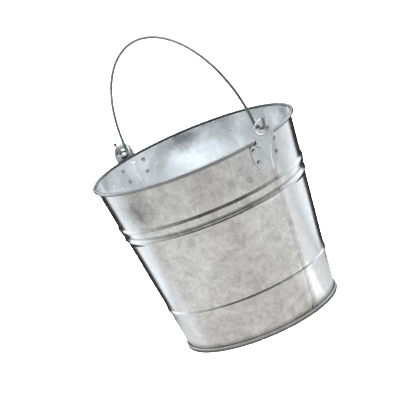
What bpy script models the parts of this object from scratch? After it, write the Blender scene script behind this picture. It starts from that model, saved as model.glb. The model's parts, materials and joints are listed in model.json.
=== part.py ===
"""Galvanised steel florist bucket with two riveted ears and a swinging wire bail.

Frame: metres, +Z up, origin in the middle of the foot ring, on the surface that it stands on.
The two ears and the two side seams lie on the X axis. The bail turns about the line through
the eyes of the ears, parallel to X, and stands raised at rest, leaning slightly towards -Y.
"""

import math

import bmesh
import bpy
from mathutils import Matrix, Vector

MM = 0.001

# Sheet metal
SHEET = 0.5 * MM  # thickness of the body and base sheet
EAR_SHEET = 1.0 * MM
LAYER = 0.85 * MM  # pitch of sheets folded over each other, from middle to middle
BUTT_GAP = 0.15 * MM  # half the gap between the body halves where they only meet

# Body. Radii are to the middle of the sheet.
RIM_HEIGHT = 229.5 * MM  # middle of the rolled rim
WALL_RADIUS_FOOT = 97.5 * MM
WALL_RADIUS_RIM = 127.6 * MM
UPPER_STEP = 0.6 * MM  # how far the wall above the ribs stands out from the cone below them
RIM_CURL = 2.15 * MM  # middle radius of the rim's curl
RIM_CURL_END = -130  # degrees; the curl starts at 180, against the wall, and goes over the top
RIM_FOOT = 227.0 * MM  # the wall is straight up to here
RIM_WIRE = 1.4 * MM
STATIONS = 40  # facets round the bucket; all nested rings share them

# Ribs and beads rolled into the wall: (height, how far it stands out from the cone), eased
# from each to the next
SWAGES = (
    (49.6 * MM, 0.0),  # foot bead
    (53.4 * MM, 0.9 * MM),
    (55.8 * MM, 1.0 * MM),
    (58.6 * MM, -0.3 * MM),
    (61.0 * MM, 0.0),
    (153.2 * MM, 0.0),  # lower rib
    (158.2 * MM, 1.65 * MM),
    (163.8 * MM, -0.95 * MM),  # groove
    (166.2 * MM, 1.3 * MM),  # upper rib
    (173.4 * MM, 2.2 * MM),
    (177.6 * MM, UPPER_STEP),
)

# Double seam at the foot
FOOT_TURN_HEIGHT = 2.3 * MM  # middle of the body sheet's turn
BODY_HOOK_TOP = 3.6 * MM
FOOT_STRAIGHT_TOP = 5.8 * MM  # the wall is upright inside the double seam, up to here
PAN_HEIGHT = 3.85 * MM  # middle of the base disc
PAN_CORNER = 1.2 * MM
PAN_EDGE = 0.8 * MM  # corner radius of the ring that the bucket stands on
PAN_TURN_HEIGHT = 4.3 * MM
PAN_HOOK_END = 2.6 * MM
SEAL_RADIUS = 0.28 * MM

# Lock seams at the sides, folded inside the wall: places across them, from the ear's middle line
SEAM_BUTT = -1.8 * MM  # where the body halves meet at rim and foot
SEAM_FOLD = 0.4 * MM  # where the hook sheet folds back
SEAM_COVER = -3.4 * MM  # where the cover sheet folds under
SEAM_FEET = 3.0 * MM  # where the cover sheet leaves the wall
SEAM_COVER_END = 0.0
SEAM_HOOK_END = -3.0 * MM
COVER_SPAN = (8.5 * MM, 224.0 * MM)
HOOK_SPAN = (10.5 * MM, 222.0 * MM)

# Ears. "Across" is measured round the wall from the ear's middle line, and the lift from the
# middle of the wall.
EAR_FLANGE = 1.1 * MM  # lift of the flange
EAR_CHANNEL = 2.6 * MM  # rise of the tapering rib up the middle, above the flange
EAR_TONGUE = 4.4 * MM  # rise of the tongue that passes outside the rim, above the flange
EAR_RAMP = (214.0 * MM, 227.5 * MM)  # heights between which the rib rises to the tongue
EAR_SHOULDER = 3.6 * MM  # width of the rib's sloping sides
CHANNEL_FLAT = 0.2 * MM  # half width of the rib's flat back at its lower end
CHANNEL_FLARES = ((198.0 * MM, 232.0 * MM, 9.8 * MM), (217.5 * MM, 226.6 * MM, 5.2 * MM))
EAR_BOTTOM = 188.5 * MM
EAR_ROUND = (211.0 * MM, 22.5 * MM)  # height and radius of the round lower edge
EAR_TOP = 226.5 * MM  # height of the flange's upper edge
EAR_CORNER = 3.5 * MM
EAR_NOTCH = 1.0 * MM  # radius between the flange and the tongue
TONGUE_ROUND = (237.0 * MM, 14.5 * MM)  # height and radius of the tongue's round end
EYE_HEIGHT = 240.5 * MM
EYE_RADIUS = 3.5 * MM
DISH_RADIUS = 11.5 * MM  # shallow dish round the eye
DISH_SLOPE = 4.2 * MM
DISH_DEPTH = 1.7 * MM
DISH_SHORTER = 1.35  # how much less it reaches below the eye than beside it
EAR_GRID = 3.2 * MM

# Rivets: (across, height) of each, mirrored about the ear's middle line
RIVETS = {"upper": (18.6 * MM, 220.4 * MM), "lower": (16.1 * MM, 204.6 * MM)}
RIVET_SHANK = 1.9 * MM
RIVET_HEAD = 2.9 * MM
RIVET_DOME = 1.8 * MM  # radius where the dome meets the head's sloping side
RIVET_HEAD_HEIGHT = 1.2 * MM
RIVET_TAIL_HEIGHT = 0.95 * MM
RIVET_GRIP = (-0.6 * MM, 2.1 * MM)  # undersides of the heads, from the middle of the wall
RIVET_HOLE = 2.2 * MM
RIVET_SIDES = 12
DRILL_LENGTH = 10.0 * MM

# Bail
BAIL_WIRE = 1.9 * MM  # radius
BAIL_HALF_WIDTH = 125.2 * MM
BAIL_RISE = 138.4 * MM  # from the eyes to the top of the arch
BAIL_TURN = 4.0 * MM  # radius of the bend inside the ear
BAIL_HOOK_START = 137.2 * MM
BAIL_HOOK_TURN = 3.6 * MM
BAIL_HOOK_LEAN = math.radians(15)
BAIL_HOOK_LENGTH = 11.0 * MM
BAIL_LEAN = math.radians(2.3)  # towards -Y, at rest
BAIL_STEPS = 15  # straight pieces in each half of the arch

WALL_SLOPE = (WALL_RADIUS_RIM - WALL_RADIUS_FOOT) / RIM_HEIGHT
FOOT_RADIUS = WALL_RADIUS_FOOT + WALL_SLOPE * FOOT_TURN_HEIGHT
RIM_RADIUS = WALL_RADIUS_RIM + UPPER_STEP + RIM_CURL  # to the middle of the rolled rim


def smoothstep(value):
    value = min(max(value, 0.0), 1.0)
    return value * value * (3 - 2 * value)


def wall_radius(height):
    """Middle radius of the wall, with its ribs and beads."""
    swage = 0.0
    for (low, start), (high, end) in zip(SWAGES, SWAGES[1:]):
        if height > low:
            swage = start + (end - start) * smoothstep((height - low) / (high - low))
    return WALL_RADIUS_FOOT + WALL_SLOPE * height + swage


def upper_radius(height):
    """Middle radius of the cone of the wall above the ribs, which the ears follow."""
    return WALL_RADIUS_FOOT + WALL_SLOPE * height + UPPER_STEP


def on_facet(radius, angle):
    """Radius of the point at this angle on the straight facet between two stations."""
    step = 2 * math.pi / STATIONS
    return radius * math.cos(step / 2) / math.cos(angle % step - step / 2)


def arc(centre, radius, start, end, steps):
    """Points on an arc in a plane, from angle start to end in degrees, both included."""
    angles = [math.radians(start + (end - start) * k / steps) for k in range(steps + 1)]
    return [(centre[0] + radius * math.cos(a), centre[1] + radius * math.sin(a)) for a in angles]


def metal(name, colour, roughness, metallic):
    material = bpy.data.materials.new(name)
    material.use_nodes = True
    shader = material.node_tree.nodes["Principled BSDF"]
    shader.inputs["Base Color"].default_value = (*colour, 1.0)
    shader.inputs["Roughness"].default_value = roughness
    shader.inputs["Metallic"].default_value = metallic
    return material


def add_object(name, data, material):
    """Adds an object. Copies of a repeated piece share their data, which takes the material once."""
    if not data.materials:
        data.materials.append(material)
    obj = bpy.data.objects.new(name, data)
    bpy.context.scene.collection.objects.link(obj)
    return obj


def mesh_from(bm, name):
    bmesh.ops.recalc_face_normals(bm, faces=bm.faces[:])
    mesh = bpy.data.meshes.new(name)
    bm.to_mesh(mesh)
    bm.free()
    mesh.shade_smooth()
    mesh.set_sharp_from_angle(angle=math.radians(40))
    return mesh


def solidify(obj, thickness):
    modifier = obj.modifiers.new("sheet", "SOLIDIFY")
    modifier.thickness = thickness
    modifier.offset = 0
    modifier.use_even_offset = True


def drill(obj, cutter):
    modifier = obj.modifiers.new("rivet_holes", "BOOLEAN")
    modifier.operation = "DIFFERENCE"
    modifier.solver = "EXACT"
    modifier.object = cutter


def turned_mesh(name, profile, segments, closed):
    """A profile of (radius, height) points spun round Z. A closed profile makes a ring."""
    bm = bmesh.new()
    points = [bm.verts.new((radius, 0, height)) for radius, height in profile]
    edges = [bm.edges.new(pair) for pair in zip(points, points[1:])]
    if closed:
        edges.append(bm.edges.new((points[-1], points[0])))
    bmesh.ops.spin(
        bm,
        geom=points + edges,
        cent=(0, 0, 0),
        axis=(0, 0, 1),
        angle=2 * math.pi,
        steps=segments,
        use_merge=True,
    )
    bmesh.ops.remove_doubles(bm, verts=bm.verts[:], dist=1e-6)
    return mesh_from(bm, name)


# --- body halves -----------------------------------------------------------------------------


def body_rows():
    """(radius, height, folds) from the tip of the foot hook to the tip of the rim curl.

    Folds is 0 where the halves only meet, 1 where the seam's cover is there, and 2 where the
    other sheet's hook is there too.
    """
    outer = FOOT_RADIUS + 2 * LAYER
    rows = [(outer, BODY_HOOK_TOP, 0)]
    turn = arc((FOOT_RADIUS + LAYER, FOOT_TURN_HEIGHT), LAYER, 0, -180, 4)
    rows += [(radius, height, 0) for radius, height in turn]
    rows.append((FOOT_RADIUS, FOOT_STRAIGHT_TOP, 0))

    swages = [height for height, _ in SWAGES]
    heights = [*COVER_SPAN, *HOOK_SPAN, *swages]
    heights += [(low + high) / 2 for low, high in zip(swages, swages[1:])]
    for height in sorted(heights):
        folds = 2 if HOOK_SPAN[0] <= height <= HOOK_SPAN[1] else 1
        rows.append((wall_radius(height), height, folds))

    rows.append((wall_radius(RIM_FOOT), RIM_FOOT, 0))
    curl = arc((RIM_RADIUS, RIM_HEIGHT), RIM_CURL, 180, RIM_CURL_END, 7)
    rows += [(radius, height, 0) for radius, height in curl]
    return rows


def body_stations():
    """(angle, across open, across folded, layer, folds needed) round one half of the body.

    The first edge is the cover of one seam, and the last edge is the hook inside the other.
    Layer counts inwards from the wall.
    """
    cover = [(SEAM_COVER_END, LAYER)]
    cover += arc((SEAM_COVER, 2 * LAYER), LAYER, 270, 90, 4)
    stations = [(0.0, across, across, rise / LAYER, 1) for across, rise in cover]
    wrap = arc((SEAM_FOLD, LAYER), 2 * LAYER, 90, 0, 2)
    wrap += [(SEAM_FOLD + 2.4 * LAYER, 0.25 * LAYER), (SEAM_FEET, 0.0)]
    opened = [SEAM_BUTT + BUTT_GAP]
    opened += [SEAM_BUTT + (SEAM_FEET - SEAM_BUTT) * share for share in (0.3, 0.55, 0.8, 1)]
    for (across, rise), open_across in zip(wrap, opened):
        stations.append((0.0, open_across, across, rise / LAYER, 0))

    step = 2 * math.pi / STATIONS
    stations += [(step * k, 0.0, 0.0, 0, 0) for k in range(1, STATIONS // 2)]

    stations.append((math.pi, SEAM_BUTT - BUTT_GAP, SEAM_BUTT - BUTT_GAP, 0, 0))
    hook = arc((SEAM_FOLD, LAYER), LAYER, -90, 90, 4)
    stations += [(math.pi, across, across, rise / LAYER, 2) for across, rise in hook]
    stations.append((math.pi, SEAM_HOOK_END, SEAM_HOOK_END, 2, 2))
    return stations


def body_half_mesh():
    rows = body_rows()
    stations = body_stations()
    bm = bmesh.new()
    grid = {}
    for i, (radius, height, folds) in enumerate(rows):
        for j, (base_angle, open_across, folded_across, layer, needed) in enumerate(stations):
            if folds < needed:
                continue
            across, depth = (folded_across, layer * LAYER) if folds else (open_across, 0.0)
            angle = base_angle + across / radius
            reach = on_facet(radius, angle) - depth
            place = (reach * math.cos(angle), reach * math.sin(angle), height)
            grid[i, j] = bm.verts.new(place)
    for i in range(len(rows) - 1):
        for j in range(len(stations) - 1):
            corners = [(i, j), (i, j + 1), (i + 1, j + 1), (i + 1, j)]
            if all(corner in grid for corner in corners):
                bm.faces.new([grid[corner] for corner in corners])
    return mesh_from(bm, "body_half")


# --- ears ------------------------------------------------------------------------------------


def ear_half_outline():
    """Half of the ear's flat outline, (across, height), from its lowest point round to the eye."""
    round_height, round_radius = EAR_ROUND
    tongue_height, tongue_radius = TONGUE_ROUND
    outline = arc((0, round_height), round_radius, -90, 0, 9)
    corner = (round_radius - EAR_CORNER, EAR_TOP - EAR_CORNER)
    outline += arc(corner, EAR_CORNER, 0, 90, 3)
    outline += arc((tongue_radius + EAR_NOTCH, EAR_TOP + EAR_NOTCH), EAR_NOTCH, 270, 180, 2)
    outline += arc((0, tongue_height), tongue_radius, 0, 90, 7)
    outline += arc((0, EYE_HEIGHT), EYE_RADIUS, 90, -90, 6)
    return outline


def ear_lift(across, height):
    """How far the ear's middle surface stands out from the middle of the wall."""
    across = abs(across)
    ramp_low, ramp_high = EAR_RAMP
    ramp = smoothstep((height - ramp_low) / (ramp_high - ramp_low))
    flat = CHANNEL_FLAT
    for low, high, flare in CHANNEL_FLARES:
        flat += flare * smoothstep((height - low) / (high - low))
    channel = EAR_CHANNEL + (EAR_TONGUE - EAR_CHANNEL) * ramp
    lift = EAR_FLANGE + channel * smoothstep((flat + EAR_SHOULDER - across) / EAR_SHOULDER)
    rise = height - EYE_HEIGHT
    reach = math.hypot(across, rise if rise > 0 else rise * DISH_SHORTER)
    return lift - DISH_DEPTH * smoothstep((DISH_RADIUS - reach) / DISH_SLOPE)


def ear_half_mesh():
    """The half of the +X ear at +Y, as the middle surface of its sheet."""
    bm = bmesh.new()
    bm.faces.new([bm.verts.new((across, height, 0)) for across, height in ear_half_outline()])
    ear_top = sum(TONGUE_ROUND)
    for axis, start, end in ((0, 0.0, EAR_ROUND[1]), (1, EAR_BOTTOM, ear_top)):
        normal = Vector((1 - axis, axis, 0))
        for k in range(1, math.ceil((end - start) / EAR_GRID)):
            geometry = bm.verts[:] + bm.edges[:] + bm.faces[:]
            place = normal * (start + k * EAR_GRID)
            bmesh.ops.bisect_plane(bm, geom=geometry, plane_co=place, plane_no=normal)
    for vertex in bm.verts:
        across, height = vertex.co.x, vertex.co.y
        radius = upper_radius(height)
        angle = across / radius
        reach = radius + ear_lift(across, height)
        vertex.co = (reach * math.cos(angle), reach * math.sin(angle), height)
    return mesh_from(bm, "ear_half")


# --- rivets ----------------------------------------------------------------------------------


def rivet_places():
    """(name, matrix) of each rivet, with its local Z along the wall's outward normal."""
    places = []
    for side, middle in (("right", 0.0), ("left", math.pi)):
        for row, (across, height) in RIVETS.items():
            for end, sign in (("front", -1), ("back", 1)):
                # Seen from the front, across grows towards +Y on the right and -Y on the left.
                turn = sign if side == "right" else -sign
                radius = upper_radius(height)
                angle = middle + turn * across / radius
                reach = on_facet(radius, angle)
                place = Vector((reach * math.cos(angle), reach * math.sin(angle), height))
                normal = Vector((math.cos(angle), math.sin(angle), -WALL_SLOPE)).normalized()
                turned = normal.to_track_quat("Z", "Y").to_matrix().to_4x4()
                places.append((f"rivet_{side}_{row}_{end}", Matrix.Translation(place) @ turned))
    return places


def rivet_mesh():
    low, high = RIVET_GRIP
    profile = [
        (0, high + RIVET_HEAD_HEIGHT),
        (RIVET_DOME, high + RIVET_HEAD_HEIGHT * 0.8),
        (RIVET_HEAD, high),
        (RIVET_SHANK, high),
        (RIVET_SHANK, low),
        (RIVET_HEAD, low),
        (RIVET_DOME, low - RIVET_TAIL_HEIGHT * 0.9),
        (0, low - RIVET_TAIL_HEIGHT),
    ]
    return turned_mesh("rivet", profile, RIVET_SIDES, closed=False)


def rivet_hole_cutter(places):
    bm = bmesh.new()
    for _, matrix in places:
        bmesh.ops.create_cone(
            bm,
            cap_ends=True,
            segments=RIVET_SIDES,
            radius1=RIVET_HOLE,
            radius2=RIVET_HOLE,
            depth=DRILL_LENGTH,
            matrix=matrix,
        )
    cutter = bpy.data.objects.new("rivet_hole_cutter", mesh_from(bm, "rivet_hole_cutter"))
    bpy.context.scene.collection.objects.link(cutter)
    cutter.hide_render = True
    cutter.display_type = "WIRE"
    return cutter


# --- base, rings and bail --------------------------------------------------------------------


def base_pan_mesh():
    """The base disc with its rim folded round the body's foot hook."""
    wall = FOOT_RADIUS - LAYER
    outer = FOOT_RADIUS + 3 * LAYER
    profile = [(0, PAN_HEIGHT)]
    profile += arc((wall - PAN_CORNER, PAN_HEIGHT - PAN_CORNER), PAN_CORNER, 90, 0, 2)
    floor = SHEET / 2
    profile += arc((wall + PAN_EDGE, floor + PAN_EDGE), PAN_EDGE, 180, 270, 2)
    profile += arc((outer - PAN_EDGE, floor + PAN_EDGE), PAN_EDGE, 270, 360, 2)
    profile += arc((FOOT_RADIUS + 2 * LAYER, PAN_TURN_HEIGHT), LAYER, 0, 180, 4)
    profile.append((FOOT_RADIUS + LAYER, PAN_HOOK_END))
    return turned_mesh("base_pan", profile, STATIONS, closed=False)


def ring_mesh(name, centre, radius, sides):
    profile = arc(centre, radius, 0, 360 - 360 / sides, sides - 1)
    return turned_mesh(name, profile, STATIONS, closed=True)


def bail_route():
    """(x, height above the eyes) from the tip of the +X hook over the arch to the -X tip."""
    lean = math.degrees(BAIL_HOOK_LEAN)
    hook = arc((BAIL_HOOK_START, BAIL_HOOK_TURN), BAIL_HOOK_TURN, -lean, -90, 4)
    tip_x = hook[0][0] + BAIL_HOOK_LENGTH * math.sin(BAIL_HOOK_LEAN)
    tip_height = hook[0][1] + BAIL_HOOK_LENGTH * math.cos(BAIL_HOOK_LEAN)
    half = [(tip_x, tip_height), *hook]
    half += arc((BAIL_HALF_WIDTH + BAIL_TURN, BAIL_TURN), BAIL_TURN, 270, 180, 4)
    for k in range(1, BAIL_STEPS + 1):
        angle = math.pi / 2 * k / BAIL_STEPS
        rise = BAIL_TURN + (BAIL_RISE - BAIL_TURN) * math.sin(angle)
        half.append((BAIL_HALF_WIDTH * math.cos(angle), rise))
    return half + [(-x, height) for x, height in reversed(half[:-1])]


def bail_curve():
    route = bail_route()
    curve = bpy.data.curves.new("bail_wire", "CURVE")
    curve.dimensions = "3D"
    curve.bevel_depth = BAIL_WIRE
    curve.bevel_resolution = 2
    curve.use_fill_caps = True
    spline = curve.splines.new("POLY")
    spline.points.add(len(route) - 1)
    for point, (x, height) in zip(spline.points, route):
        point.co = (x, 0, height, 1)
    return curve


# --- assembly --------------------------------------------------------------------------------


def build_body(zinc, cutter):
    half = body_half_mesh()
    for name, turn in (("body_half_back", 0.0), ("body_half_front", math.pi)):
        obj = add_object(name, half, zinc)
        obj.rotation_euler.z = turn
        solidify(obj, SHEET)
        drill(obj, cutter)


def build_ears(zinc, cutter):
    half = ear_half_mesh()
    for name, turn in (("ear_right", 0.0), ("ear_left", math.pi)):
        obj = add_object(name, half, zinc)
        obj.rotation_euler.z = turn
        mirror = obj.modifiers.new("other_half", "MIRROR")
        mirror.use_axis = (False, True, False)
        mirror.merge_threshold = 1e-5
        solidify(obj, EAR_SHEET)
        drill(obj, cutter)


def build_rivets(steel, places):
    mesh = rivet_mesh()
    for name, matrix in places:
        add_object(name, mesh, steel).matrix_world = matrix


def build_rings(zinc, steel, rubber):
    pan = add_object("base_pan", base_pan_mesh(), zinc)
    solidify(pan, SHEET)
    rim_centre = (RIM_RADIUS, RIM_HEIGHT)
    add_object("rim_wire", ring_mesh("rim_wire", rim_centre, RIM_WIRE, 6), steel)
    seal_centre = (FOOT_RADIUS + 2 * LAYER, PAN_TURN_HEIGHT)
    add_object("base_seam_seal", ring_mesh("base_seam_seal", seal_centre, SEAL_RADIUS, 4), rubber)


def build_bail(steel):
    bail = add_object("bail_wire", bail_curve(), steel)
    bail.location = (0, 0, EYE_HEIGHT)
    bail.rotation_euler.x = BAIL_LEAN


def main():
    for obj in list(bpy.data.objects):
        bpy.data.objects.remove(obj)
    zinc = metal("zinc_sheet", (0.62, 0.63, 0.63), 0.38, 0.85)
    steel = metal("zinc_wire", (0.36, 0.38, 0.39), 0.35, 0.9)
    rubber = metal("sealing_compound", (0.12, 0.13, 0.13), 0.8, 0.0)
    places = rivet_places()
    cutter = rivet_hole_cutter(places)
    build_body(zinc, cutter)
    build_ears(zinc, cutter)
    build_rivets(steel, places)
    build_rings(zinc, steel, rubber)
    build_bail(steel)


main()
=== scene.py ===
"""Looks of the galvanised florist bucket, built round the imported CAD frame.

Metres, +Z up, in the frame of the CAD: the bucket stands on z = 0 round the Z axis, its ears and
side seams lie on the X axis, and the bail turns about the line through the eyes of the ears.
"Across" is measured round the wall from the middle line of a seam or an ear.
"""

import json
import math

import bmesh
import bpy
from mathutils import Matrix, Vector


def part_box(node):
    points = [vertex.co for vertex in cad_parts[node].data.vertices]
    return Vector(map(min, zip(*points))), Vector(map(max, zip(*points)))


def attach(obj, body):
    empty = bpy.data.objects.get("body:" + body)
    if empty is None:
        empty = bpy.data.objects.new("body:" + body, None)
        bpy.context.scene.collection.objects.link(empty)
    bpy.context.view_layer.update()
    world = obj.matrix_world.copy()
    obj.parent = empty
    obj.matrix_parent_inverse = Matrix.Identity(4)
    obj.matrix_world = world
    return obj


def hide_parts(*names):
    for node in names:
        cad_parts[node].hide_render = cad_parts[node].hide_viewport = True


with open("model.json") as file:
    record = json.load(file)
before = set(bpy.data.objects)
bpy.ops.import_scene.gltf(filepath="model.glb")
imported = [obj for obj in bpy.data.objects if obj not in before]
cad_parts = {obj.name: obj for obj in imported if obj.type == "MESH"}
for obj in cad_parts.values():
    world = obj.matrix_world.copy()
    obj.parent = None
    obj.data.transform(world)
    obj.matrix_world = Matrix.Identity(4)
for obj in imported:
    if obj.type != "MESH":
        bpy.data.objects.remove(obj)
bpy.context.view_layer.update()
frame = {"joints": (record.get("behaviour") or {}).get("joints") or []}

MM = 0.001


def middle_of(node, axis):
    low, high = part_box(node)
    return (low[axis] + high[axis]) / 2


# Places that the frame gives
EYE_HEIGHT = frame["joints"][0]["pos_m"][2]
RIM_HEIGHT = middle_of("rim_wire", 2)
RIM_WIRE = 1.4 * MM  # radius
RIM_CURL_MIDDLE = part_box("rim_wire")[1].y - RIM_WIRE
FOOT_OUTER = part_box("base_pan")[1].y

# Sheet metal
SHEET = 0.5 * MM
EAR_SHEET = 1.0 * MM
LAYER = 0.85 * MM  # pitch of sheets folded over each other
BUTT_GAP = 0.15 * MM

# Wall. Radii are to the middle of the sheet.
RIM_CURL = 2.15 * MM
RIM_CURL_END = -130
UPPER_STEP = 0.6 * MM  # how far the wall above the ribs stands out from the cone below them
FOOT_TURN_HEIGHT = 2.3 * MM
FOOT_RADIUS = FOOT_OUTER - SHEET / 2 - 3 * LAYER
WALL_SLOPE = (RIM_CURL_MIDDLE - RIM_CURL - UPPER_STEP - FOOT_RADIUS) / (RIM_HEIGHT - FOOT_TURN_HEIGHT)

# Ribs and beads rolled into the wall: (height, how far it stands out from the cone), eased
# from each to the next
SWAGES = (
    (49.6 * MM, 0.0),  # foot bead
    (53.4 * MM, 0.9 * MM),
    (55.8 * MM, 1.0 * MM),
    (58.6 * MM, -0.3 * MM),
    (61.0 * MM, 0.0),
    (153.2 * MM, 0.0),  # lower rib
    (158.2 * MM, 1.65 * MM),
    (163.8 * MM, -0.95 * MM),  # groove
    (166.2 * MM, 1.3 * MM),  # upper rib
    (173.4 * MM, 2.2 * MM),
    (177.6 * MM, UPPER_STEP),
)

# Double seam at the foot
BODY_HOOK_TOP = 3.6 * MM
FOOT_STRAIGHT_MIDDLE = 4.2 * MM
FOOT_STRAIGHT_TOP = 5.8 * MM
PAN_HEIGHT = 3.85 * MM
PAN_CORNER = 1.2 * MM
PAN_EDGE = 0.8 * MM
PAN_TURN_HEIGHT = 4.3 * MM
PAN_HOOK_END = 2.6 * MM
SEAL_RADIUS = 0.28 * MM

# Lock seams at the sides, folded inside the wall: places across them, from the ear's middle line
SEAM_BUTT = -1.8 * MM  # where the body halves meet at rim and foot
SEAM_FOLD = 0.5 * MM  # where the hook sheet folds back
SEAM_COVER = -3.4 * MM  # where the cover sheet folds under
SEAM_FEET = 3.0 * MM  # where the cover sheet leaves the wall
SEAM_HOOK_END = -3.0 * MM
COVER_SPAN = (8.5 * MM, 224.0 * MM)  # heights of the cover sheet's fold
HOOK_SPAN = (10.5 * MM, 222.0 * MM)  # heights of the hook sheet's fold
COVER_EDGE = (0.0, -1.6 * MM)  # the cover sheet's edge, tucked into the hook sheet's fold
COVER_BACK = (-2.2 * MM, -1.0 * MM)  # where it passes over the hook sheet
# From there it comes down to the wall: (across, layers in from the wall)
COVER_SLOPE = (
    (0.2 * MM, 3.0),
    (1.0 * MM, 2.9),
    (1.45 * MM, 2.5),
    (1.65 * MM, 1.9),
    (1.72 * MM, 1.2),
    (1.8 * MM, 0.7),
    (2.0 * MM, 0.32),
    (2.4 * MM, 0.1),
)
HOOK_FOOT = -0.8 * MM  # the hook sheet's last place in the wall before its fold
HOOK_BACK = -1.0 * MM  # and a place on its way back
# Places on the plain wall beside a seam, closer together than the stations round the bucket
BESIDE_COVER = (4.2 * MM, 5.6 * MM, 7.2 * MM, 9.5 * MM)
BESIDE_HOOK = (-7.6 * MM, -6.2 * MM, -5.2 * MM, -4.4 * MM, -3.4 * MM)

# Ears. The lift is from the middle of the wall.
EAR_FLANGE = 1.1 * MM  # lift of the flange
EAR_CHANNEL = 2.6 * MM  # rise of the tapering rib up the middle, above the flange
EAR_TONGUE = 4.4 * MM  # rise of the tongue that passes outside the rim, above the flange
EAR_RAMP = (214.0 * MM, 227.5 * MM)  # heights between which the rib rises to the tongue
EAR_SHOULDER = 3.6 * MM  # width of the rib's sloping sides
CHANNEL_FLAT = 0.2 * MM  # half width of the rib's flat back at its lower end
CHANNEL_FLARES = ((198.0 * MM, 232.0 * MM, 9.8 * MM), (217.5 * MM, 226.6 * MM, 5.2 * MM))
EAR_ROUND = (211.0 * MM, 22.5 * MM)  # height and radius of the round lower edge
EAR_TOP = 226.5 * MM  # height of the flange's upper edge
EAR_CORNER = 3.5 * MM
EAR_FILLET = 1.0 * MM  # where the flange meets the tongue
TONGUE_ROUND = (237.0 * MM, 14.5 * MM)  # height and radius of the tongue's round end
EYE_RADIUS = 3.5 * MM
DISH_RADIUS = 11.5 * MM  # shallow dish round the eye
DISH_SLOPE = 4.2 * MM
DISH_DEPTH = 1.7 * MM
DISH_SHORTER = 1.35  # how much less it reaches below the eye than beside it
EAR_GRID = 0.8 * MM

# Rivets: (across, height), mirrored about the middle line of the ear
RIVETS = {"upper": (18.6 * MM, 220.4 * MM), "lower": (16.1 * MM, 204.6 * MM)}
RIVET_SHANK = 1.9 * MM
RIVET_HEAD = 2.9 * MM
RIVET_HEAD_HEIGHT = 1.2 * MM
RIVET_HEAD_FULLNESS = 0.8  # power of the dome's cosine: the smaller, the fuller
RIVET_TAIL_FULLNESS = 0.6
RIVET_TAIL_SHARE = 0.8  # height of the tail, as a share of the head's
RIVET_GRIP = (-0.6 * MM, 2.1 * MM)  # undersides of tail and head, from the middle of the wall

# Bail. Heights are above the eyes.
BAIL_WIRE = 1.9 * MM  # radius
BAIL_END_SHARE = 0.75  # of the radius at the tips
BAIL_END_LENGTH = 0.3 * MM  # how far from a tip it reaches its full radius
BAIL_HALF_WIDTH = 125.2 * MM
BAIL_RISE = 138.4 * MM
BAIL_TURN = 4.0 * MM
BAIL_HOOK_START = 137.2 * MM
BAIL_HOOK_TURN = 3.6 * MM
BAIL_HOOK_LEAN = math.radians(15)
BAIL_HOOK_LENGTH = 11.0 * MM
BAIL_LEAN = math.radians(2.3)

# Fineness
STATIONS = 180  # round the bucket
ROW_STEP = 2.6 * MM  # between rows on the plain wall
BEAD_STEP = 0.55 * MM  # between rows on a bead
ROW_CLEAR = 0.3 * MM  # least distance of a row from the ends of the hook sheet's fold
ROWS_BELOW_RIM = (2.6 * MM, 1.3 * MM)
EAR_GRID_SPANS = ((-23 * MM, 23 * MM), (188 * MM, 252 * MM))  # across, and up
EAR_GRID_SHIFT = 0.37  # of a cell, so that no cut passes through the outline's own points
RIVET_SIDES = 28
BAIL_SIDES = 20
BAIL_STEPS = 60  # along half of the arch

# Gentle unevenness of the pressed sheet: waves of (number round the bucket, radians per metre
# of height, phase, weight)
DENT_DEPTH = 0.16 * MM
DENT_WAVES = ((3, 31, 0.7, 1.0), (7, -47, 2.1, 1.0), (11, 83, 4.0, 0.7), (17, -120, 0.0, 0.5))
DENT_FOOT = (8 * MM, 12 * MM)  # height at which it starts, and how much higher it is full
DENT_RIM = 18 * MM  # how far below the rim it is full
DENT_RIBS = ((150 * MM, 180 * MM), (50 * MM, 61 * MM))  # heights where it is least
DENT_RIB_LEAST = 0.25
DENT_RIB_REACH = 10 * MM  # how far beyond them it is full again
DENT_SEAM = (0.06, 0.12)  # as at the foot, by the sine of the angle from the seam

# Camera
CAMERA_AZIMUTH = math.radians(-38.6)
CAMERA_TARGET = Vector((-0.0100, -0.0127, 0.1664))
CAMERA_AWAY = Vector((1.7678, -1.3906, 0.4992))
CAMERA_ROLL = math.radians(22.885)
CAMERA_LENS = 168.3


def grey(level, blue=0.0):
    return (level * (1 - blue), level, level * (1 + blue), 1.0)


# Studio. Round about: from straight behind the bucket, 0, to straight towards the camera, 1.
# Level: from straight down, 0, to straight up, 1. Each stop is (position, colour).
WORLD_ROUND = (
    (0.0, grey(1.25, 0.02)),
    (0.18, grey(1.20, 0.02)),
    (0.40, grey(0.80, 0.015)),
    (0.62, grey(0.85, 0.0)),
    (0.85, grey(1.0, -0.01)),
    (1.0, grey(0.86, -0.01)),
)
# Dark cards behind the bucket: how they fade out round about, and where they end by level
WORLD_CARD = ((0.085, grey(0.03)), (0.125, grey(1.0)))
WORLD_CARD_TOP = ((0.56, grey(0.0)), (0.62, grey(1.0)))
# Dark gap above the camera: where it is round about and by level, and its colour
WORLD_NEAR = ((0.35, grey(0.0)), (0.5, grey(0.35)), (0.8, grey(0.8)), (0.95, grey(1.0)))
WORLD_ABOVE = ((0.37, grey(0.0)), (0.42, grey(1.0)), (0.82, grey(1.0)), (0.90, grey(0.0)))
WORLD_GAP = grey(0.12)
# Light by level, for reflections and then for diffuse rays alone, much stronger from above
WORLD_UP = (
    (0.46, grey(1.0)),
    (0.54, grey(1.2, 0.01)),
    (0.80, grey(1.35, 0.02)),
    (0.92, grey(2.1, 0.03)),
    (1.0, grey(2.6, 0.03)),
)
WORLD_UP_MATT = (
    (0.48, grey(1.0)),
    (0.62, grey(4.2, 0.03)),
    (0.80, grey(8.4, 0.04)),
    (1.0, grey(10.0, 0.04)),
)

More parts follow.
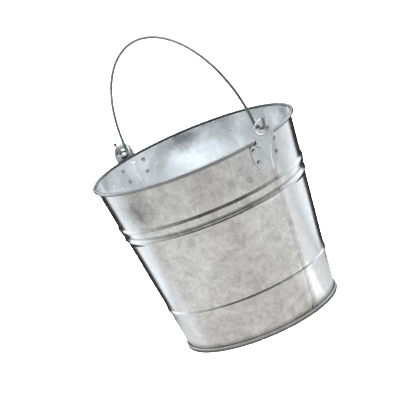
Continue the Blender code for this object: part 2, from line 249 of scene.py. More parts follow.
# White card under the bucket, seen only in reflections: an ellipse whose middle lies towards
# the camera, so that the zinc mirrors white ground near it and the studio beyond
CARD_MIDDLE = 0.35  # towards the camera
CARD_SIDE = 0.03
CARD_HALF = (0.52, 0.75)  # towards the camera, and across
CARD_EDGE = ((0.80, grey(0.0)), (1.0, grey(1.0)))
CARD_SPAN = 1.6  # of the stops across and towards the camera, half of it on each side
CARD_ACROSS = (
    (0.30, grey(1.0)),
    (0.375, grey(1.05)),
    (0.43, grey(0.90, -0.01)),
    (0.5, grey(0.86, -0.01)),
    (0.56, grey(0.90, -0.01)),
    (0.63, grey(1.02)),
    (0.8, grey(0.95, 0.01)),
)
CARD_TOWARDS = ((0.47, grey(0.78, 0.01)), (0.52, grey(1.0)), (1.0, grey(1.0)))
CARD_GLARE = 0.42  # added within a strip near the foot: how it fades in and out towards, then across
CARD_GLARE_TOWARDS = ((0.040, 0.052), (0.090, 0.110))
CARD_GLARE_ACROSS = ((0.09, 0.11), (0.17, 0.21))
# Painted shadow of the bucket on the card, darker close round its foot: (distance from the axis, level)
CARD_FOOT_SHADOW = ((0.100, grey(0.2)), (0.115, grey(1.0)))

FLOOR_HALF = 6.0
FLOOR_HEIGHT = -0.05 * MM
FLOOR_WHITE = 0.9
FLOOR_ROUGHNESS = 0.9
FLOOR_GLOW = 0.45
CARD_HEIGHT = -0.03 * MM

# Finishes of the zinc: colours of its dark and light crystals, and its range of roughness
MATTE = ((0.36, 0.36, 0.34, 1.0), (0.75, 0.75, 0.735, 1.0), (0.14, 0.27))
SLEEK = ((0.62, 0.635, 0.65, 1.0), (0.82, 0.835, 0.85, 1.0), (0.08, 0.16))
INSIDE = ((0.74, 0.77, 0.78, 1.0), (0.95, 0.975, 0.98, 1.0), (0.16, 0.28))
EAR = ((0.42, 0.45, 0.46, 1.0), (0.60, 0.635, 0.645, 1.0), (0.06, 0.12))
# The ear has painted highlights, a lighter colour where the photograph has highlights: on the side
# of the rib where the product of the normal's X and Y passes from the first number to the second,
# and on the lower side of the dish, by the normal's Z
EAR_PAINTED_HIGHLIGHT = (0.90, 0.92, 0.93, 1.0)
EAR_HIGHLIGHT_ASIDE = (0.10, 0.26)
EAR_HIGHLIGHT_ABOVE = (0.08, 0.32)
RIVET = ((0.36, 0.37, 0.38, 1.0), (0.56, 0.57, 0.58, 1.0), (0.12, 0.22))
FOOT = ((0.42, 0.42, 0.40, 1.0), (0.66, 0.66, 0.635, 1.0), (0.12, 0.24))
WIRE = ((0.185, 0.18, 0.176, 1.0), (0.32, 0.312, 0.305, 1.0), (0.42, 0.54))
INSIDE_METALLIC = 0.66
SEAL = (grey(0.05), grey(0.12), (0.6, 0.85))
SEAL_GRAIN = 1.5 * MM
BEAD = ((0.50, 0.51, 0.51, 1.0), (0.74, 0.75, 0.75, 1.0))  # the rolled rim
# The front of the wall is matte between these, in degrees round from +X: it fades in over the
# first and out over the second. The back, which the photograph doesn't show, is matte too,
# fading in over the third on either side.
MATTE_SPAN = ((-92, -84), (3.2, 4.4))
MATTE_BACK = (112, 135)

# How the zinc's colour is put together from its crystals, clouds and grain
TONE_SHARES = (0.20, 0.50, 0.30)
CRYSTAL_WARP = 0.5  # size of the noise that bends the crystals, as a share of theirs
CLOUD_SIZE = 2.6  # as a share of a crystal's
CLOUD_SPAN = (0.34, 0.66)  # of the noise, spread over 0 to 1
GRAIN_SPAN = (0.3, 0.7)
CRYSTAL_RELIEF = 0.4  # against the grain's 1
RELIEF_HEIGHT = 0.1 * MM

# Large dull blotches inside: their size, their level, and the noise between which they end
BLOTCH_SIZE = 55 * MM
BLOTCH_LEVEL = 0.62
BLOTCH_SPAN = (0.36, 0.55)

# Painted shade by height, in the groove, under the rim and at the edges of the rolled rim and
# the foot, and on the wall a plain darkening towards the top: (height, level)
TONE_TOP = 240 * MM
WALL_PAINTED_SHADE = (
    (0.0, 0.6),
    (5.2 * MM, 0.65),
    (6.6 * MM, 1.0),
    (161.0 * MM, 1.0),
    (163.0 * MM, 0.7),
    (166.0 * MM, 1.0),
    (178.0 * MM, 0.95),
    (205.0 * MM, 0.88),
    (225.6 * MM, 0.86),
    (226.6 * MM, 0.45),
    (228.0 * MM, 0.45),
)
# Painted shade of the rolled rim by height, dark at its lower and upper edges: (height, level)
BEAD_PAINTED_SHADE = (
    (227.0 * MM, 0.14),
    (228.0 * MM, 0.34),
    (229.4 * MM, 0.56),
    (230.6 * MM, 0.66),
    (231.3 * MM, 0.58),
    (231.9 * MM, 0.16),
)
BEAD_RADIUS = 128.6 * MM  # the rolled rim is what lies outside this or above the next
BEAD_BOTTOM = 228.9 * MM
# The rolled rim is painted darker on the side opposite the camera, as the photograph shows it:
# level there, the middle of the dark part, in degrees round from +X, which is the camera's
# azimuth and half a turn, and the places along that direction between which it darkens. It is
# shade by where the camera stood, though it is fixed to the bucket and stays there in any view.
BEAD_BACK_LEVEL = 0.26
BEAD_BACK_MIDDLE = 141.4
BEAD_BACK_SPAN = (10 * MM, 60 * MM)
# Painted shade of the foot's rolled seam by height, darkest at the bottom and at the top crease: (height,
# level). It lies beyond the radius after it.
FOOT_PAINTED_SHADE = ((0.0, 0.50), (2.6 * MM, 0.58), (4.2 * MM, 0.88), (6.0 * MM, 0.45))
FOOT_SHADE_RADIUS = 95 * MM

# Dark patches on the wall, outside and inside, where the photograph has them: (place, reach,
# level at the middle). Those inside are painted dark reflections.
PATCH_WANDER = 0.45  # how far a patch's edge wanders, as a share of its reach
PATCH_EDGE = (0.55, 1.35)  # shares of its reach between which it fades
WALL_DARK_PATCHES = (
    ((0.022, -0.1235, 0.204), 24 * MM, 0.76),
    ((-0.002, -0.1240, 0.198), 20 * MM, 0.80),
    ((0.1175, -0.0330, 0.192), 6 * MM, 0.72),
    ((0.1160, -0.0380, 0.181), 5 * MM, 0.80),
    ((0.1090, -0.0560, 0.196), 9 * MM, 0.86),
)
# Painted dark reflections on the inside wall
INSIDE_PAINTED_REFLECTIONS = (
    ((-0.1070, 0.0710, 0.2215), 17 * MM, 0.42),
    ((-0.0960, 0.0850, 0.2195), 13 * MM, 0.62),
    ((-0.1160, 0.0540, 0.2190), 12 * MM, 0.86),
    ((-0.1205, 0.0360, 0.2000), 8 * MM, 0.86),
    ((-0.1095, -0.0660, 0.2180), 10 * MM, 0.72),
    ((0.0500, 0.1180, 0.2120), 26 * MM, 0.66),
    ((-0.0620, 0.1120, 0.2200), 20 * MM, 0.84),
)


# --- shape functions -------------------------------------------------------------------------


def smoothstep(value):
    value = min(max(value, 0.0), 1.0)
    return value * value * (3 - 2 * value)


def arc(centre, radius, start, end, steps):
    """Points on an arc in a plane, from angle start to end in degrees, both included."""
    angles = [math.radians(start + (end - start) * k / steps) for k in range(steps + 1)]
    return [(centre[0] + radius * math.cos(a), centre[1] + radius * math.sin(a)) for a in angles]


def cone_radius(height):
    """Middle radius of the plain cone of the lower wall."""
    return FOOT_RADIUS + WALL_SLOPE * (height - FOOT_TURN_HEIGHT)


def upper_radius(height):
    return cone_radius(height) + UPPER_STEP


def wall_radius(height):
    swage = 0.0
    for (low, start), (high, end) in zip(SWAGES, SWAGES[1:]):
        if height > low:
            swage = start + (end - start) * smoothstep((height - low) / (high - low))
    return cone_radius(height) + swage


def ear_lift(across, height):
    """How far the ear's middle surface stands out from the middle of the wall."""
    across = abs(across)
    ramp_low, ramp_high = EAR_RAMP
    ramp = smoothstep((height - ramp_low) / (ramp_high - ramp_low))
    flat = CHANNEL_FLAT
    for low, high, flare in CHANNEL_FLARES:
        flat += flare * smoothstep((height - low) / (high - low))
    channel = EAR_CHANNEL + (EAR_TONGUE - EAR_CHANNEL) * ramp
    lift = EAR_FLANGE + channel * smoothstep((flat + EAR_SHOULDER - across) / EAR_SHOULDER)
    rise = height - EYE_HEIGHT
    reach = math.hypot(across, rise if rise > 0 else rise * DISH_SHORTER)
    return lift - DISH_DEPTH * smoothstep((DISH_RADIUS - reach) / DISH_SLOPE)


# --- mesh helpers ----------------------------------------------------------------------------


def mesh_from(bm, name, sharp=50):
    bmesh.ops.recalc_face_normals(bm, faces=bm.faces[:])
    mesh = bpy.data.meshes.new(name)
    bm.to_mesh(mesh)
    bm.free()
    mesh.shade_smooth()
    mesh.set_sharp_from_angle(angle=math.radians(sharp))
    return mesh


def piece(name, data, material, body, node):
    """Adds a piece that stands for a CAD node."""
    if material.name not in data.materials:
        data.materials.append(material)
    obj = bpy.data.objects.new(name, data)
    bpy.context.scene.collection.objects.link(obj)
    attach(obj, body)
    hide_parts(node)
    return obj


def solidify(obj, thickness):
    modifier = obj.modifiers.new("sheet", "SOLIDIFY")
    modifier.thickness = thickness
    modifier.offset = 0
    modifier.use_even_offset = True


def turned_mesh(name, profile, segments, closed):
    bm = bmesh.new()
    rings = []
    for radius, height in profile:
        if radius < 1e-7:
            rings.append([bm.verts.new((0, 0, height))])
            continue
        ring = []
        for k in range(segments):
            angle = 2 * math.pi * k / segments
            ring.append(bm.verts.new((radius * math.cos(angle), radius * math.sin(angle), height)))
        rings.append(ring)
    pairs = list(zip(rings, rings[1:]))
    if closed:
        pairs.append((rings[-1], rings[0]))
    for low, high in pairs:
        for k in range(segments):
            corners = [ring[(k + turn) % segments] for ring, turn in ((low, 0), (low, 1)) if len(ring) > 1]
            corners += [ring[(k + turn) % segments] for ring, turn in ((high, 1), (high, 0)) if len(ring) > 1]
            corners += [ring[0] for ring in (low, high) if len(ring) == 1]
            bm.faces.new(corners)
    return mesh_from(bm, name)


# --- body halves -----------------------------------------------------------------------------


def wall_heights():
    """Heights of the rows of the wall, close together on its swages and further apart elsewhere."""
    spans = [(low, high) for (low, start), (high, end) in zip(SWAGES, SWAGES[1:]) if start or end]
    heights = []
    height = COVER_SPAN[0]
    while height < COVER_SPAN[1]:
        if all(abs(height - end) > ROW_CLEAR for end in HOOK_SPAN):
            heights.append(height)
        swaged = any(low - ROW_STEP <= height <= high for low, high in spans)
        height += BEAD_STEP if swaged else ROW_STEP
    return sorted([*heights, *HOOK_SPAN, COVER_SPAN[1]])


def body_rows():
    """(radius, height, folds) from the tip of the foot hook to the tip of the rim curl."""
    outer = FOOT_RADIUS + 2 * LAYER
    rows = [(outer, BODY_HOOK_TOP, 0)]
    turn = arc((FOOT_RADIUS + LAYER, FOOT_TURN_HEIGHT), LAYER, 0, -180, 8)
    rows += [(radius, height, 0) for radius, height in turn]
    rows.append((FOOT_RADIUS, FOOT_STRAIGHT_MIDDLE, 0))
    rows.append((FOOT_RADIUS, FOOT_STRAIGHT_TOP, 0))
    for height in wall_heights():
        folds = 2 if HOOK_SPAN[0] <= height <= HOOK_SPAN[1] else 1
        rows.append((wall_radius(height), height, folds))
    for drop in ROWS_BELOW_RIM:
        rows.append((upper_radius(RIM_HEIGHT - drop), RIM_HEIGHT - drop, 0))
    curl = arc((RIM_CURL_MIDDLE, RIM_HEIGHT), RIM_CURL, 180, RIM_CURL_END, 22)
    rows += [(radius, height, 0) for radius, height in curl]
    return rows


def body_stations():
    """(angle, across open, across folded, layer, folds needed) round one half of the body.

    The first edge is the cover of one seam, and the last edge is the hook inside the other.
    Layer counts inwards from the wall.
    """
    stations = [(0.0, across, across, 1, 1) for across in COVER_EDGE]
    for across, depth in arc((SEAM_COVER, 2 * LAYER), LAYER, 270, 90, 10):
        stations.append((0.0, across, across, depth / LAYER, 1))
    for across in COVER_BACK:
        stations.append((0.0, across, across, 3, 1))
    for k, (across, depth) in enumerate(COVER_SLOPE):
        opened = SEAM_BUTT + BUTT_GAP + (SEAM_FEET - SEAM_BUTT) * k / len(COVER_SLOPE)
        stations.append((0.0, opened, across, depth, 0))
    stations.append((0.0, SEAM_FEET, SEAM_FEET, 0, 0))
    for across in BESIDE_COVER:
        stations.append((0.0, across, across, 0, 0))

    step = 2 * math.pi / STATIONS
    for k in range(4, STATIONS // 2 - 3):
        stations.append((step * k, 0.0, 0.0, 0, 0))

    for across in BESIDE_HOOK:
        stations.append((math.pi, across, across, 0, 0))
    stations.append((math.pi, SEAM_BUTT - BUTT_GAP, SEAM_BUTT - BUTT_GAP, 0, 0))
    stations.append((math.pi, HOOK_FOOT, HOOK_FOOT, 0, 2))
    for across, depth in arc((SEAM_FOLD, LAYER), LAYER, -90, 90, 10):
        stations.append((math.pi, across, across, depth / LAYER, 2))
    for across in (HOOK_BACK, SEAM_HOOK_END):
        stations.append((math.pi, across, across, 2, 2))
    return stations


def dents(angle, height):
    """Unevenness, from -1 to 1. It fades out at the rim, seams and foot, and is small on the ribs."""
    waves = 0.0
    for turns, rise, phase, weight in DENT_WAVES:
        waves += weight * math.sin(turns * angle + rise * height + phase)
    waves /= sum(wave[-1] for wave in DENT_WAVES)
    foot, above_foot = DENT_FOOT
    fade = smoothstep((height - foot) / above_foot) * smoothstep((RIM_HEIGHT - height) / DENT_RIM)
    for low, high in DENT_RIBS:
        clear = max(low - height, height - high, 0.0)
        fade *= DENT_RIB_LEAST + (1 - DENT_RIB_LEAST) * smoothstep(clear / DENT_RIB_REACH)
    seam, beside_seam = DENT_SEAM
    return waves * fade * smoothstep((abs(math.sin(angle)) - seam) / beside_seam)


def body_half_mesh(name, turn):
    rows = body_rows()
    stations = body_stations()
    bm = bmesh.new()
    grid = {}
    for i, (radius, height, folds) in enumerate(rows):
        for j, (base_angle, open_across, folded_across, layer, needed) in enumerate(stations):
            if folds < needed:
                continue
            across, depth = (folded_across, layer * LAYER) if folds else (open_across, 0.0)
            angle = base_angle + across / radius + turn
            reach = radius - depth + DENT_DEPTH * dents(angle, height)
            grid[i, j] = bm.verts.new((reach * math.cos(angle), reach * math.sin(angle), height))
    for i in range(len(rows) - 1):
        for j in range(len(stations) - 1):
            corners = [(i, j), (i, j + 1), (i + 1, j + 1), (i + 1, j)]
            if all(corner in grid for corner in corners):
                bm.faces.new([grid[corner] for corner in corners])
    return mesh_from(bm, name)


# --- ears ------------------------------------------------------------------------------------


def ear_half_outline():
    """(across, height) of the +across half, from its foot round to below the eye."""
    round_height, round_radius = EAR_ROUND
    tongue_height, tongue_radius = TONGUE_ROUND
    outline = arc((0, round_height), round_radius, -90, 0, 30)
    corner = (round_radius - EAR_CORNER, EAR_TOP - EAR_CORNER)
    outline += arc(corner, EAR_CORNER, 0, 90, 8)
    fillet = (tongue_radius + EAR_FILLET, EAR_TOP + EAR_FILLET)
    outline += arc(fillet, EAR_FILLET, 270, 180, 5)
    outline += arc((0, tongue_height), tongue_radius, 0, 90, 24)
    outline += arc((0, EYE_HEIGHT), EYE_RADIUS, 90, -90, 24)
    return outline


def ear_mesh(name, turn):
    """An ear as the middle surface of its sheet, both halves, turned to its side of the bucket."""
    bm = bmesh.new()
    for side in (1, -1):
        corners = [bm.verts.new((side * across, height, 0)) for across, height in ear_half_outline()]
        bm.faces.new(corners)
    for axis, (start, end) in enumerate(EAR_GRID_SPANS):
        normal = Vector((1 - axis, axis, 0))
        for k in range(1, math.ceil((end - start) / EAR_GRID)):
            geometry = bm.verts[:] + bm.edges[:] + bm.faces[:]
            place = normal * (start + (k + EAR_GRID_SHIFT) * EAR_GRID)
            bmesh.ops.bisect_plane(bm, geom=geometry, plane_co=place, plane_no=normal)
    bmesh.ops.remove_doubles(bm, verts=bm.verts[:], dist=1e-6)
    for vertex in bm.verts:
        across, height = vertex.co.x, vertex.co.y
        radius = upper_radius(height)
        angle = across / radius + turn
        reach = radius + ear_lift(across, height)
        vertex.co = (reach * math.cos(angle), reach * math.sin(angle), height)
    return mesh_from(bm, name)


# --- rivets, rings and base ------------------------------------------------------------------


def rivet_places():
    """(name, matrix) of each rivet, with its local Z along the wall's outward normal."""
    places = []
    for side, middle in (("right", 0.0), ("left", math.pi)):
        for row, (across, height) in RIVETS.items():
            for end, sign in (("front", -1), ("back", 1)):
                turn = sign if side == "right" else -sign
                radius = upper_radius(height)
                angle = middle + turn * across / radius
                place = Vector((radius * math.cos(angle), radius * math.sin(angle), height))
                normal = Vector((math.cos(angle), math.sin(angle), -WALL_SLOPE)).normalized()
                turned = normal.to_track_quat("Z", "Y").to_matrix().to_4x4()
                places.append((f"rivet_{side}_{row}_{end}", Matrix.Translation(place) @ turned))
    return places


def rivet_mesh(matrix):
    low, high = RIVET_GRIP
    dome = [
        (RIVET_HEAD * math.sin(a), high + RIVET_HEAD_HEIGHT * math.cos(a) ** RIVET_HEAD_FULLNESS)
        for a in (math.pi / 2 * k / 8 for k in range(9))
    ]
    tail_height = RIVET_HEAD_HEIGHT * RIVET_TAIL_SHARE
    tail = [
        (RIVET_HEAD * math.sin(a), low - tail_height * math.cos(a) ** RIVET_TAIL_FULLNESS)
        for a in (math.pi / 2 * k / 8 for k in range(8, -1, -1))
    ]
    shank = [(RIVET_SHANK, high), (RIVET_SHANK, low)]
    mesh = turned_mesh("rivet", dome + shank + tail, RIVET_SIDES, False)
    mesh.transform(matrix)
    return mesh


def base_pan_mesh():
    wall = FOOT_RADIUS - LAYER
    floor = SHEET / 2
    profile = [(0, PAN_HEIGHT)]
    profile += [((wall - PAN_CORNER) * k / 30, PAN_HEIGHT) for k in range(1, 30)]
    profile += arc((wall - PAN_CORNER, PAN_HEIGHT - PAN_CORNER), PAN_CORNER, 90, 0, 6)
    profile += arc((wall + PAN_EDGE, floor + PAN_EDGE), PAN_EDGE, 180, 270, 6)
    profile += arc((FOOT_OUTER - SHEET / 2 - PAN_EDGE, floor + PAN_EDGE), PAN_EDGE, 270, 360, 6)
    profile += arc((FOOT_RADIUS + 2 * LAYER, PAN_TURN_HEIGHT), LAYER, 0, 180, 10)
    profile.append((FOOT_RADIUS + LAYER, PAN_HOOK_END))
    return turned_mesh("base_pan_sheet", profile, STATIONS, False)


def ring_mesh(name, centre, radius, sides):
    return turned_mesh(name, arc(centre, radius, 0, 360 - 360 / sides, sides - 1), STATIONS, True)


# --- bail ------------------------------------------------------------------------------------


def bail_route():
    """(x, height above the eyes) from the tip of the +X hook over the arch to the -X tip."""
    lean = math.degrees(BAIL_HOOK_LEAN)
    hook = arc((BAIL_HOOK_START, BAIL_HOOK_TURN), BAIL_HOOK_TURN, -lean, -90, 12)
    tip_x = hook[0][0] + BAIL_HOOK_LENGTH * math.sin(BAIL_HOOK_LEAN)
    tip_height = hook[0][1] + BAIL_HOOK_LENGTH * math.cos(BAIL_HOOK_LEAN)
    half = [(tip_x, tip_height), *hook]
    half += arc((BAIL_HALF_WIDTH + BAIL_TURN, BAIL_TURN), BAIL_TURN, 270, 180, 12)
    for k in range(1, BAIL_STEPS + 1):
        angle = math.pi / 2 * k / BAIL_STEPS
        rise = BAIL_TURN + (BAIL_RISE - BAIL_TURN) * math.sin(angle)
        half.append((BAIL_HALF_WIDTH * math.cos(angle), rise))
    return half + [(-x, height) for x, height in reversed(half[:-1])]


def bail_mesh():
    """A round wire along the route, with slightly rounded ends."""
    lean = Matrix.Rotation(BAIL_LEAN, 4, "X")
    route = [Vector((x, 0, height)) for x, height in bail_route()]
    rings = []
    last = len(route) - 1
    for i, point in enumerate(route):
        along = (route[min(i + 1, last)] - route[max(i - 1, 0)]).normalized()
        side = along.cross(Vector((0, 1, 0)))
        sections = [(0.0, BAIL_WIRE)]
        if i == 0:
            sections = [(0.0, BAIL_END_SHARE * BAIL_WIRE), (BAIL_END_LENGTH, BAIL_WIRE)]
        if i == last:
            sections = [(-BAIL_END_LENGTH, BAIL_WIRE), (0.0, BAIL_END_SHARE * BAIL_WIRE)]
        for shift, radius in sections:
            ring = []
            for k in range(BAIL_SIDES):
                angle = 2 * math.pi * k / BAIL_SIDES
                offset = side * math.cos(angle) + Vector((0, 1, 0)) * math.sin(angle)
                ring.append(lean @ (point + along * shift + offset * radius) + Vector((0, 0, EYE_HEIGHT)))
            rings.append(ring)
    bm = bmesh.new()
    made = [[bm.verts.new(co) for co in ring] for ring in rings]
    for low, high in zip(made, made[1:]):
        for k in range(BAIL_SIDES):
            after = (k + 1) % BAIL_SIDES
            bm.faces.new((low[k], low[after], high[after], high[k]))
    bm.faces.new(made[0])
    bm.faces.new(made[-1])
    return mesh_from(bm, "bail_wire_round")


# --- materials -------------------------------------------------------------------------------


class Nodes:
    """A short way to write a material's node tree."""

    def __init__(self, tree):
        self.tree = tree

    def add(self, kind, **settings):
        node = self.tree.nodes.new(kind)
        for key, value in settings.items():
            setattr(node, key, value)
        return node

    def feed(self, socket, value):
        """Links an output to a socket, or sets the socket to a constant."""
        if isinstance(value, bpy.types.NodeSocket):
            self.tree.links.new(value, socket)
        else:
            socket.default_value = value

    def math(self, operation, first, second=0.5):
        node = self.add("ShaderNodeMath", operation=operation)
        self.feed(node.inputs[0], first)
        self.feed(node.inputs[1], second)
        return node.outputs[0]

    def remap(self, value, low, high, start=0.0, end=1.0):
        """Maps start..end to low..high, and holds it within them."""
        node = self.add("ShaderNodeMapRange")
        self.feed(node.inputs["Value"], value)
        node.inputs["From Min"].default_value = start
        node.inputs["From Max"].default_value = end
        node.inputs["To Min"].default_value = low
        node.inputs["To Max"].default_value = high
        return node.outputs["Result"]

    def blend(self, factor, first, second, how="MIX"):
        node = self.add("ShaderNodeMix", data_type="RGBA", blend_type=how)
        self.feed(node.inputs["Factor"], factor)
        self.feed(node.inputs[6], first)
        self.feed(node.inputs[7], second)
        return node.outputs[2]

    def split(self, vector):
        node = self.add("ShaderNodeSeparateXYZ")
        self.feed(node.inputs[0], vector)
        return node.outputs

    def ramp(self, value, stops):
        """Colours at (position, colour) stops."""
        node = self.add("ShaderNodeValToRGB")
        self.feed(node.inputs["Fac"], value)
        elements = node.color_ramp.elements
        elements.remove(elements[1])
        elements[0].position, elements[0].color = stops[0]
        for position, colour in stops[1:]:
            elements.new(position).color = colour
        return node.outputs["Color"]

    def noise(self, coordinates, size, detail=3.0, rough=0.55, distort=0.0):
        node = self.add("ShaderNodeTexNoise")
        self.feed(node.inputs["Vector"], coordinates)
        node.inputs["Scale"].default_value = 1 / size
        node.inputs["Detail"].default_value = detail
        node.inputs["Roughness"].default_value = rough
        node.inputs["Distortion"].default_value = distort
        return node.outputs["Fac"]


def height_tone(nodes, place, tones):
    """Level at each height."""
    stops = [(height / TONE_TOP, grey(level)) for height, level in tones]
    return nodes.ramp(nodes.math("DIVIDE", nodes.split(place)["Z"], TONE_TOP), stops)


def from_axis(nodes, place):
    """Distance from the axis of the bucket."""
    spot = nodes.split(place)
    squares = [nodes.math("MULTIPLY", spot[axis], spot[axis]) for axis in ("X", "Y")]
    return nodes.math("SQRT", nodes.math("ADD", *squares))


def matte_share(nodes, place):
    """1 where the wall is matte, 0 where it is sleek."""
    spot = nodes.split(place)
    angle = nodes.math("ARCTAN2", spot["Y"], spot["X"])
    starts, ends, backs = [[math.radians(end) for end in span] for span in (*MATTE_SPAN, MATTE_BACK)]
    front = nodes.math("MULTIPLY", nodes.remap(angle, 0, 1, *starts), nodes.remap(angle, 1, 0, *ends))
    return nodes.math("MAXIMUM", front, nodes.remap(nodes.math("ABSOLUTE", angle), 0, 1, *backs))


def dark_patch_tone(nodes, place, wander, spots):
    """Level that falls in the dark patches, whose edges the wander makes ragged."""
    level = 1.0
    for middle, reach, lowest in spots:
        away = nodes.add("ShaderNodeVectorMath", operation="DISTANCE")
        nodes.feed(away.inputs[0], place)
        away.inputs[1].default_value = middle
        moved = nodes.math("MULTIPLY", wander, PATCH_WANDER * reach)
        ragged = nodes.math("ADD", away.outputs["Value"], moved)
        inner, outer = [share * reach for share in PATCH_EDGE]
        level = nodes.math("MULTIPLY", level, nodes.remap(ragged, lowest, 1, inner, outer))
    return level


def on_bead(nodes, place):
    """1 on the rolled rim, and 0 elsewhere."""
    outside = nodes.math("GREATER_THAN", from_axis(nodes, place), BEAD_RADIUS)
    return nodes.math("MAXIMUM", outside, nodes.math("GREATER_THAN", nodes.split(place)["Z"], BEAD_BOTTOM))


def bead_painted_shade(nodes, place):
    """Painted shade of the rolled rim: by height, and darker on the side opposite the camera."""
    level = height_tone(nodes, place, BEAD_PAINTED_SHADE)
    spot = nodes.split(place)
    middle = math.radians(BEAD_BACK_MIDDLE)
    along = nodes.math("MULTIPLY", spot["X"], math.cos(middle))
    along = nodes.math("ADD", along, nodes.math("MULTIPLY", spot["Y"], math.sin(middle)))
    back = nodes.remap(along, 1, BEAD_BACK_LEVEL, *BEAD_BACK_SPAN)
    return nodes.blend(1.0, level, back, "MULTIPLY")


def ear_painted_highlight(nodes):
    """1 on the sides of the ear's rib and dish that get painted highlights, and 0 on its flat parts."""
    normal = nodes.split(nodes.add("ShaderNodeTexCoord").outputs["Normal"])
    aside = nodes.remap(nodes.math("MULTIPLY", normal["X"], normal["Y"]), 0, 1, *EAR_HIGHLIGHT_ASIDE)
    return nodes.math("MAXIMUM", aside, nodes.remap(normal["Z"], 0, 1, *EAR_HIGHLIGHT_ABOVE))


# Painted shade of the foot's rolled seam by height
def foot_painted_shade(nodes, place):
    on_foot = nodes.math("GREATER_THAN", from_axis(nodes, place), FOOT_SHADE_RADIUS)
    return nodes.blend(on_foot, grey(1.0), height_tone(nodes, place, FOOT_PAINTED_SHADE))


def galvanised(name, finish, crystal, grain, relief, part=""):
    """Hot-dip zinc. Part is whose own tones, painted shade, painted reflections and painted highlights are
    added: wall, inside, ear, foot or none.
    """
    material = bpy.data.materials.new(name)
    material.use_nodes = True
    nodes = Nodes(material.node_tree)
    shader = material.node_tree.nodes["Principled BSDF"]
    shader.inputs["Metallic"].default_value = 1.0
    place = nodes.add("ShaderNodeTexCoord").outputs["Object"]

    warp = nodes.add("ShaderNodeTexNoise")
    nodes.feed(warp.inputs["Vector"], place)
    warp.inputs["Scale"].default_value = 1 / (CRYSTAL_WARP * crystal)
    warp.inputs["Detail"].default_value = 3.0
    moved = nodes.add("ShaderNodeVectorMath", operation="MULTIPLY_ADD")
    nodes.feed(moved.inputs[0], warp.outputs["Color"])
    moved.inputs[1].default_value = (crystal, crystal, crystal)
    nodes.feed(moved.inputs[2], place)
    crystals = nodes.add("ShaderNodeTexVoronoi")
    nodes.feed(crystals.inputs["Vector"], moved.outputs["Vector"])
    crystals.inputs["Scale"].default_value = 1 / crystal
    facet = nodes.add("ShaderNodeSeparateColor")
    nodes.feed(facet.inputs["Color"], crystals.outputs["Color"])

    cloud = nodes.noise(place, CLOUD_SIZE * crystal, detail=6.0, rough=0.66, distort=0.8)
    cloud = nodes.remap(cloud, 0, 1, *CLOUD_SPAN)
    fine = nodes.remap(nodes.noise(place, grain, detail=3.0, rough=0.6), 0, 1, *GRAIN_SPAN)
    crystal_share, cloud_share, grain_share = TONE_SHARES
    tone = nodes.math("MULTIPLY", facet.outputs["Red"], crystal_share)
    tone = nodes.math("ADD", tone, nodes.math("MULTIPLY", cloud, cloud_share))
    tone = nodes.math("ADD", tone, nodes.math("MULTIPLY", fine, grain_share))

    dark, light, roughness = finish
    colour = nodes.blend(tone, dark, light)
    uneven = nodes.math("MULTIPLY", nodes.math("ADD", cloud, facet.outputs["Green"]), 0.5)
    rough = nodes.remap(uneven, *roughness)
    if part == "wall":
        share = matte_share(nodes, place)
        matte_dark, matte_light, matte_roughness = MATTE
        colour = nodes.blend(share, colour, nodes.blend(tone, matte_dark, matte_light))
        matte_rough = nodes.math("MULTIPLY", nodes.remap(uneven, *matte_roughness), share)
        sleek_rough = nodes.math("MULTIPLY", rough, nodes.math("SUBTRACT", 1.0, share))
        rough = nodes.math("ADD", matte_rough, sleek_rough)
        # Painted shade by height in the groove, under the rim and at the foot, and darker towards the top
        colour = nodes.blend(1.0, colour, height_tone(nodes, place, WALL_PAINTED_SHADE), "MULTIPLY")
        colour = nodes.blend(1.0, colour, dark_patch_tone(nodes, place, cloud, WALL_DARK_PATCHES), "MULTIPLY")
    if part == "inside":
        blotch = nodes.noise(place, BLOTCH_SIZE, detail=4.0, rough=0.5, distort=0.6)
        colour = nodes.blend(1.0, colour, nodes.remap(blotch, BLOTCH_LEVEL, 1.0, *BLOTCH_SPAN), "MULTIPLY")
        # Painted dark reflections on the inside wall
        colour = nodes.blend(1.0, colour, dark_patch_tone(nodes, place, cloud, INSIDE_PAINTED_REFLECTIONS), "MULTIPLY")
        bead = on_bead(nodes, place)
        # Painted shade on the rolled rim
        rolled = nodes.blend(1.0, nodes.blend(tone, *BEAD), bead_painted_shade(nodes, place), "MULTIPLY")
        colour = nodes.blend(bead, colour, rolled)
        nodes.feed(shader.inputs["Metallic"], nodes.remap(bead, INSIDE_METALLIC, 1))
    if part == "ear":
        # Painted highlights on the sides of the ear's rib and dish
        colour = nodes.blend(ear_painted_highlight(nodes), colour, EAR_PAINTED_HIGHLIGHT)
    if part == "foot":
        # Painted shade on the foot's rolled seam
        colour = nodes.blend(1.0, colour, foot_painted_shade(nodes, place), "MULTIPLY")
    nodes.feed(shader.inputs["Base Color"], colour)
    nodes.feed(shader.inputs["Roughness"], rough)

    height = nodes.math("ADD", nodes.math("MULTIPLY", facet.outputs["Blue"], CRYSTAL_RELIEF), fine)
    bump = nodes.add("ShaderNodeBump")
    bump.inputs["Strength"].default_value = relief
    bump.inputs["Distance"].default_value = RELIEF_HEIGHT
    nodes.feed(bump.inputs["Height"], height)
    nodes.feed(shader.inputs["Normal"], bump.outputs["Normal"])
    return material


def sealing_compound():
    material = bpy.data.materials.new("sealing_compound_dark")
    material.use_nodes = True
    nodes = Nodes(material.node_tree)
    shader = material.node_tree.nodes["Principled BSDF"]
    place = nodes.add("ShaderNodeTexCoord").outputs["Object"]
    grain = nodes.noise(place, SEAL_GRAIN)
    dark, light, roughness = SEAL
    nodes.feed(shader.inputs["Base Color"], nodes.blend(grain, dark, light))
    nodes.feed(shader.inputs["Roughness"], nodes.remap(grain, *roughness))
    return material


# --- studio ----------------------------------------------------------------------------------


